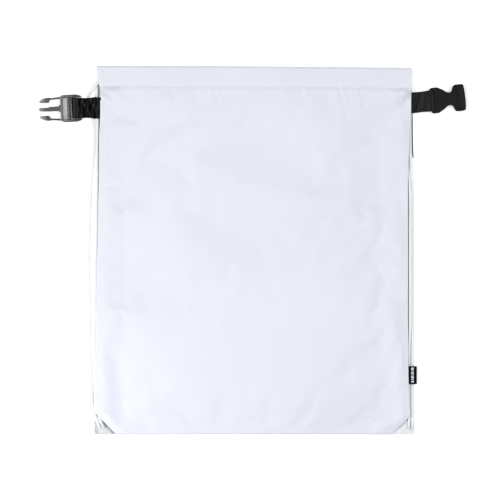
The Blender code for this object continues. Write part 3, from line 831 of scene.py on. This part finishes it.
# ---------------- thread
def thread_mesh(runs, radius, sides=6):
    """(points, faces) of short threads, each a tube along its own few points."""
    points, faces = [], []
    for run in runs:
        line = np.array(run, dtype=float)
        ahead = np.gradient(line, axis=0)
        ahead /= np.maximum(np.linalg.norm(ahead, axis=1), 1e-12)[:, None]
        first = len(points)
        side = np.cross(ahead[len(ahead) // 2], (0.0, 0.0, 1.0))
        if np.linalg.norm(side) < 1e-6:
            side = np.array((1.0, 0.0, 0.0))
        side /= np.linalg.norm(side)
        for i, (centre, way) in enumerate(zip(line, ahead)):
            across = side - way * side.dot(way)
            across /= np.linalg.norm(across)
            up = np.cross(across, way)
            thin = radius * (0.55 if i in (0, len(line) - 1) else 1.0)
            for k in range(sides):
                turn = 2 * math.pi * k / sides
                points.append(centre + thin * (math.cos(turn) * across + math.sin(turn) * up))
        for i in range(len(line) - 1):
            for k in range(sides):
                a, b = first + i * sides + k, first + i * sides + (k + 1) % sides
                faces.append((a, b, b + sides, a + sides))
        faces.append(tuple(first + k for k in reversed(range(sides))))
        last = first + (len(line) - 1) * sides
        faces.append(tuple(last + k for k in range(sides)))
    return points, faces


def thread(name, body, look, runs, radius):
    made = smooth(link(name, new_mesh(name, *thread_mesh(runs, radius))))
    made.data.materials.append(look)
    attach(made, body)


def stitch(start, end, sink, top):
    """One stitch that comes up through the cloth at start and goes down at end."""
    start, end = np.array(start, dtype=float), np.array(end, dtype=float)
    out = []
    for share, high in ((0.0, -sink), (0.12, top * 0.6), (0.35, top), (0.65, top), (0.88, top * 0.6),
                        (1.0, -sink)):
        place = start + (end - start) * share
        place[2] += high
        out.append(place)
    return out


def surface_z(x, y, front=True):
    """Height of the outer face of the front or back cloth."""
    x, y = np.asarray(x, dtype=float), np.asarray(y, dtype=float)
    left, right = panel_edges(y, front)
    inset = np.clip(np.minimum(x - left, right - x), 0, None)
    if front:
        return front_height(x, y, inset) + front_detail(x, y, inset) + 0.0002
    return back_height(y, inset) + back_detail(x, y, inset) - 0.0002


def hem_stitches(name, front, radius, sink, top):
    """A row of stitches along one hem, on the outer face of its cloth."""
    pitch, long = 0.0029, 0.0022
    runs = []
    x = -0.1745
    while x < 0.1750:
        runs.append(stitch(*((px, HEM_STITCH + MOUTH_SLOPE * px, float(surface_z(px, HEM_STITCH, front)))
                             for px in (x, x + long)), sink, top))
        x += pitch
    thread(name, "bag", WHITE_THREAD, runs, radius)


hem_stitches("hem_stitching", True, 0.00024, 0.0003, 0.00024 * 0.55)
hem_stitches("back_hem_stitching", False, 0.00020, -0.0003, -0.00020 * 0.30)


def bar_tack(name, body, root, bar_at, turn, offsets, broad):
    """Rows of short stitches across the tape near its seam."""
    count, radius = 11, 0.00028
    reach = Vector((bar_at.x - root.x, bar_at.y - root.y)).length
    runs = []
    for at in offsets:
        twist = turn * at / (reach - 0.0085)
        line = root.lerp(bar_at, at / reach)
        top = root.z + 0.0014 + 0.0001
        for k in range(count):
            a = mix(-broad, broad, (k + 0.10) / count)
            b = mix(-broad, broad, (k + 0.90) / count)
            ends = [(line.x - math.sin(twist) * v, line.y + math.cos(twist) * v, top) for v in (a, b)]
            runs.append(stitch(*ends, 0.0004, radius * 0.8))
    thread(name, body, BLACK_THREAD, runs, radius)


bar_tack("left_bar_tack", "left_loop", LEFT_ROOT, MALE_BAR, MALE_TURN, (0.0016, 0.0026), 0.0112)
bar_tack("right_bar_tack", "right_loop", RIGHT_ROOT, FEMALE_BAR, FEMALE_TURN, (0.0046, 0.0056), 0.0110)
# A thin black thread tube from near the right bar tack down along the right cord, just outside the panel's
# edge, where it draws a dark line.
thread("right_dark_strand", "bag", BLACK_THREAD, [[tuple(q) for q in smooth_path([Vector(v) / 1000 for v in (
    (179.8, 158.2, 2.6), (180.4, 152.0, 1.0), (180.5, 142.0, 0.75), (180.6, 128.0, 0.7),
    (180.9, 116.0, 0.65), (181.6, 106.0, 0.6))], 0.0015)]], 0.00064)


# ---------------- corner tabs
def corner_tab(name, node, corners, seed, look):
    steps = 28
    a, b, c, d = [np.array(corner) for corner in corners]
    points, uv = [], []
    for i in range(steps):
        for j in range(steps):
            u, v = i / (steps - 1), j / (steps - 1)
            place = (a * (1 - u) + b * u) * (1 - v) + (d * (1 - u) + c * u) * v
            outer = math.exp(-v * 6)
            high = 0.00042 + 0.00022 * (1 + float(waves_2d(place[0], place[1], 0.007, 0.02, 7, seed)))
            high += 0.0006 * u * u * (0.5 + 0.5 * math.sin(v * 9 + seed)) * outer
            points.append((place[0], place[1], high))
            left, right = panel_edges(place[1], True)
            uv.append((max(left - place[0], place[0] - right), place[1]))
    mesh = new_mesh(name, points, grid_faces(steps, steps), uv)
    made = smooth(link(name, mesh))
    body = bmesh.new()
    body.from_mesh(mesh)
    bmesh.ops.recalc_face_normals(body, faces=body.faces)
    if sum(f.normal.z for f in body.faces) < 0:
        bmesh.ops.reverse_faces(body, faces=body.faces)
    body.to_mesh(mesh)
    body.free()
    solidify(made, 0.0006)
    dress(made, look, "bag", node)


corner_tab("left_tab", "left_corner_tab", (
    (-0.1836, -0.1800), (-0.1832, BOTTOM), (-0.1520, BOTTOM), (-0.1762, -0.1766)), 7, LEFT_TAB_LOOK)
corner_tab("right_tab", "right_corner_tab", (
    (0.1800, -0.1860), (0.1826, BOTTOM), (0.1500, BOTTOM), (0.1740, -0.1824)), 9, RIGHT_TAB_LOOK)


def lashing(path):
    """Thread loops that sew the first end of a cord to its tab."""
    count, pitch = 4, 0.0012
    wide = CORD_RADIUS + LASHING * 0.8
    line = [np.array(tuple(p)) for p in path]
    runs = []
    for k in range(count):
        want = 0.0016 + k * pitch
        run = 0.0
        for p, q in zip(line, line[1:]):
            step = np.linalg.norm(q - p)
            if run + step >= want:
                centre, way = p + (q - p) * (want - run) / step, (q - p) / step
                break
            run += step
        side = np.cross(way, (0.0, 0.0, 1.0))
        side /= np.linalg.norm(side)
        over = []
        for turn in np.linspace(-0.15 * math.pi, 1.15 * math.pi, 13):
            lean = 0.0005 * math.cos(turn)
            rise = np.array((0, 0, wide * math.sin(turn)))
            over.append(centre + way * lean + wide * math.cos(turn) * side + rise)
        first, last = (np.array((over[k][0], over[k][1], 0.0007)) for k in (0, -1))
        runs.append([first, *over, last])
    return runs


for name, path in (("left_cord_lashing", left_path), ("right_cord_lashing", right_path)):
    thread(name, "bag", WHITE_THREAD, lashing(path) + lashing(path[::-1]), LASHING)


# ---------------- side label
def side_label():
    low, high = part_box("side_label")
    x0, x1 = low[0] - 0.0020, high[0] - 0.0001
    y0, y1 = low[1], high[1]
    top, base = high[2], low[2]
    mid = (top + base) / 2
    lift = (top - base) / 2 - 0.00017
    profile = [(x, mid - lift) for x in np.linspace(x0, x1 - lift, 14)]
    profile += [(x1 - lift + lift * math.cos(a), mid + lift * math.sin(a))
                for a in np.linspace(-math.pi / 2, math.pi / 2, 9)[1:-1]]
    profile += [(x, mid + lift) for x in np.linspace(x1 - lift, x0, 14)]
    rows = 26
    points = []
    for x, z in profile:
        for k in range(rows):
            y = mix(y0, y1, k / (rows - 1))
            share = (x - x0) / (x1 - x0)
            points.append((x, y, z + 0.00012 * math.sin(y * LABEL_RIPPLE) * share))
    mesh = new_mesh("label_tape", points, grid_faces(len(profile), rows))
    made = smooth(link("label_tape", mesh))
    solidify(made, 0.00032)
    dress(made, LABEL_LOOK, "label", "side_label")
    runs = []
    centre = mix(low[0], x1, 0.47)
    surface = top + 0.00002
    y = y1 - 0.0016
    for broad, long in ((0.0017, 0.0026), (0.0015, 0.0010), (0.0016, 0.0020), (0.0015, 0.0010),
                        (0.0017, 0.0024), (0.0015, 0.0012), (0.0016, 0.0020)):
        threads = max(2, round(long / 0.00028))
        for k in range(threads):
            at = y - long * (k + 0.5) / threads
            high = surface + 0.00012 * math.sin(at * LABEL_RIPPLE) * 0.5
            runs.append(stitch((centre - broad, at, high), (centre + broad, at, high), 0.0001, 0.00010))
        y -= long + 0.00080
    thread("label_bars", "label", LABEL_THREAD, runs, 0.00015)


side_label()


# ---------------- buckle halves
def plate(name, outline, corner, half_thick, round_by, resolution=3):
    """A plate with its corners rounded by corner and its edges by round_by."""
    curve = bpy.data.curves.new(name, "CURVE")
    curve.dimensions = "2D"
    curve.fill_mode = "BOTH"
    curve.extrude = half_thick - round_by
    curve.bevel_depth = round_by
    curve.bevel_resolution = resolution
    curve.offset = -round_by
    outline = rounded(outline, corner)
    spline = curve.splines.new("POLY")
    spline.points.add(len(outline) - 1)
    for point, (x, y) in zip(spline.points, outline):
        point.co = (x, y, 0.0, 1.0)
    spline.use_cyclic_u = True
    holder = link(name + "_curve", curve)
    bpy.context.view_layer.update()
    mesh = bpy.data.meshes.new_from_object(holder.evaluated_get(bpy.context.evaluated_depsgraph_get()))
    bpy.data.objects.remove(holder, do_unlink=True)
    bpy.data.curves.remove(curve)
    body = bmesh.new()
    body.from_mesh(mesh)
    bmesh.ops.remove_doubles(body, verts=body.verts, dist=2e-6)
    bmesh.ops.recalc_face_normals(body, faces=body.faces)
    body.to_mesh(mesh)
    body.free()
    return mesh


def rounded(outline, radius, steps=4):
    """The outline with each corner turned through a small arc."""
    out = []
    count = len(outline)
    for i, here in enumerate(outline):
        before, after = Vector(outline[i - 1]), Vector(outline[(i + 1) % count])
        here = Vector(here)
        into, away = before - here, after - here
        cut = min(radius, into.length * 0.45, away.length * 0.45)
        a, b = here + into.normalized() * cut, here + away.normalized() * cut
        for k in range(steps + 1):
            t = k / steps
            out.append(tuple(a * (1 - t) ** 2 + here * 2 * t * (1 - t) + b * t * t))
    return out


def put_together(name, meshes, node, body, look, place):
    """One piece from (mesh, v, z) parts, each moved by v and z, then set at place on the bag."""
    whole = bmesh.new()
    for mesh, v, z in meshes:
        mesh.transform(Matrix.Translation((0, v, z)))
        whole.from_mesh(mesh)
    bmesh.ops.transform(whole, matrix=place, verts=whole.verts)
    made = link(name, mesh_from(name, whole))
    made.data.shade_smooth()
    made.data.set_sharp_from_angle(angle=math.radians(38))
    dress(made, look, body, node)


def round_bar(half_long):
    radius = 0.00125
    body = bmesh.new()
    bmesh.ops.create_cone(body, cap_ends=True, segments=24, radius1=radius, radius2=radius,
                          depth=2 * half_long, matrix=Matrix.Rotation(math.pi / 2, 4, "X"))
    return mesh_from("bar", body)


def oblong(near, far, half):
    return [(near, -half), (far, -half), (far, half), (near, half)]


def mirrored(half):
    """The half outline and its mirror image, as one closed outline."""
    return [*half, *((u, -v) for u, v in reversed(half))]


SLOT_HALF = 0.0124
MALE_PLACE = Matrix.Translation(MALE_BAR) @ Matrix.Rotation(math.pi + MALE_TURN, 4, "Z")
FEMALE_PLACE = Matrix.Translation(FEMALE_BAR) @ Matrix.Rotation(FEMALE_TURN, 4, "Z")


def arched(mesh, fn):
    """Scales each point's height by fn(u, v)."""
    for vertex in mesh.vertices:
        vertex.co.z *= fn(vertex.co.x, vertex.co.y)
    return mesh


def male_buckle():
    edge = ((-0.0074, SLOT_HALF), (-0.0074, 0.0133), (-0.0045, 0.0148), (-0.0010, 0.0155),
            (0.0120, 0.0155), (0.0152, 0.0149), (0.0167, 0.0134))
    outline = [*mirrored(edge), (0.0143, -SLOT_HALF), (0.0143, SLOT_HALF)]
    body = arched(plate("frame", outline, 0.0007, 0.0030, 0.00055),
                  lambda u, v: 0.80 + 0.20 * float(bell(u, 0.0060, 0.0080)))
    ladder = plate("ladder", oblong(0.0047, 0.0094, 0.0126), 0.0004, 0.0016, 0.0004)
    meshes = [(body, 0, 0), (ladder, 0, 0), (round_bar(0.0126), 0, 0)]
    for i in range(6):
        ridge = plate("ridge", oblong(0.0050, 0.0091, 0.0008), 0.0005, 0.0012, 0.0004)
        meshes.append((ridge, (i - 2.5) * 0.0036, 0.0019))
    tongue = [(0.0162, -0.0046), (0.0173, -0.0042), (0.0193, -0.0028), (0.0296, -0.0026), (0.0312, -0.0017),
              (0.0402, -0.0018), (0.0411, -0.0013), (0.0411, 0.0014), (0.0402, 0.0020), (0.0296, 0.0024),
              (0.0193, 0.0025), (0.0173, 0.0042), (0.0162, 0.0046)]
    meshes.append((plate("tongue", tongue, 0.0006, 0.0017, 0.0005), 0, 0))
    rib = [(0.0176, -0.0006), (0.0300, -0.0005), (0.0385, -0.0003), (0.0385, 0.0003), (0.0300, 0.0005),
           (0.0176, 0.0006)]
    meshes.append((plate("rib", rib, 0.0002, 0.0004, 0.00015), 0, 0.0016))
    put_together("male_buckle", meshes, "male_buckle_frame", "male_half", MALE_LOOK,
                 MALE_PLACE)


def latch_arm(name, node, body, side):
    outline = [(0.0170, 0.0116), (0.0170, 0.0135), (0.0185, 0.0133), (0.0283, 0.0124), (0.0286, 0.0131),
               (0.0335, 0.0130), (0.0382, 0.0111), (0.0410, 0.0090), (0.0409, 0.0083), (0.0385, 0.0076),
               (0.0302, 0.0074), (0.0286, 0.0106), (0.0185, 0.0113)]
    shape = [(u, side * v) for u, v in outline]
    if side < 0:
        shape.reverse()
    arm = arched(plate(name, shape, 0.0005, 0.0023, 0.0005), lambda u, v: (
        1.0 - 0.42 * float(ramp(u, 0.0345, 0.0412)) - 0.16 * float(1 - ramp(u, 0.019, 0.028))))
    pad = [(0.0310, 0.0086), (0.0370, 0.0086), (0.0352, 0.0114), (0.0310, 0.0118)]
    pad = [(u, side * v) for u, v in (pad if side > 0 else reversed(pad))]
    raised = plate(name + "_pad", pad, 0.0008, 0.0004, 0.00025)
    put_together(name, [(arm, 0, 0), (raised, 0, 0.0021)], node, body, MALE_LOOK, MALE_PLACE)


def female_buckle():
    half = ((-0.0019, 0.0134), (0.0, 0.0146), (0.0065, 0.0146), (0.0125, 0.0112), (0.0172, 0.0078),
            (0.0192, 0.0071), (0.0216, 0.0073), (0.0234, 0.0090), (0.0246, 0.0126), (0.0258, 0.0146),
            (0.0275, 0.0152), (0.0350, 0.0152), (0.0366, 0.0146), (0.0374, 0.0100), (0.0377, 0.0040))
    body = link("female_buckle_look", plate("female_look", mirrored(half), 0.0009, 0.0043, 0.0011, 4))
    tools = []
    for low, high in (((-0.01, -SLOT_HALF, -0.01), (0.0034, SLOT_HALF, 0.01)),
                      ((0.0130, -0.0126, -0.00275), (0.05, 0.0126, 0.00275))):
        cutter = bmesh.new()
        size = [high[i] - low[i] for i in range(3)]
        centre = [(high[i] + low[i]) / 2 for i in range(3)]
        bmesh.ops.create_cube(
            cutter, size=1.0, matrix=Matrix.Translation(centre) @ Matrix.Diagonal((*size, 1)))
        tools.append(link("cutter", mesh_from("cutter", cutter)))
        cut = body.modifiers.new("cut", "BOOLEAN")
        cut.object, cut.operation, cut.solver = tools[-1], "DIFFERENCE", "EXACT"
    bpy.context.view_layer.update()
    shaped = bpy.data.meshes.new_from_object(body.evaluated_get(bpy.context.evaluated_depsgraph_get()))
    for thing in (body, *tools):
        bpy.data.objects.remove(thing, do_unlink=True)
    lip = [(0.0268, -0.0135), (0.0348, -0.0135), (0.0360, -0.0060), (0.0363, 0.0), (0.0360, 0.0060),
           (0.0348, 0.0135), (0.0268, 0.0135), (0.0262, 0.0)]
    edge = oblong(0.0036, 0.0046, 0.0120)
    meshes = [(shaped, 0, 0), (round_bar(0.0128), 0, 0),
              (plate("lip", lip, 0.0015, 0.00035, 0.0003), 0, 0.0042),
              (plate("edge", edge, 0.0004, 0.0004, 0.0003), 0, 0.0042)]
    put_together("female_socket", meshes, "female_buckle", "female_half", FEMALE_LOOK,
                 FEMALE_PLACE)


male_buckle()
latch_arm("upper_arm_look", "upper_latch_arm", "upper_arm", -1)
latch_arm("lower_arm_look", "lower_latch_arm", "lower_arm", 1)
female_buckle()
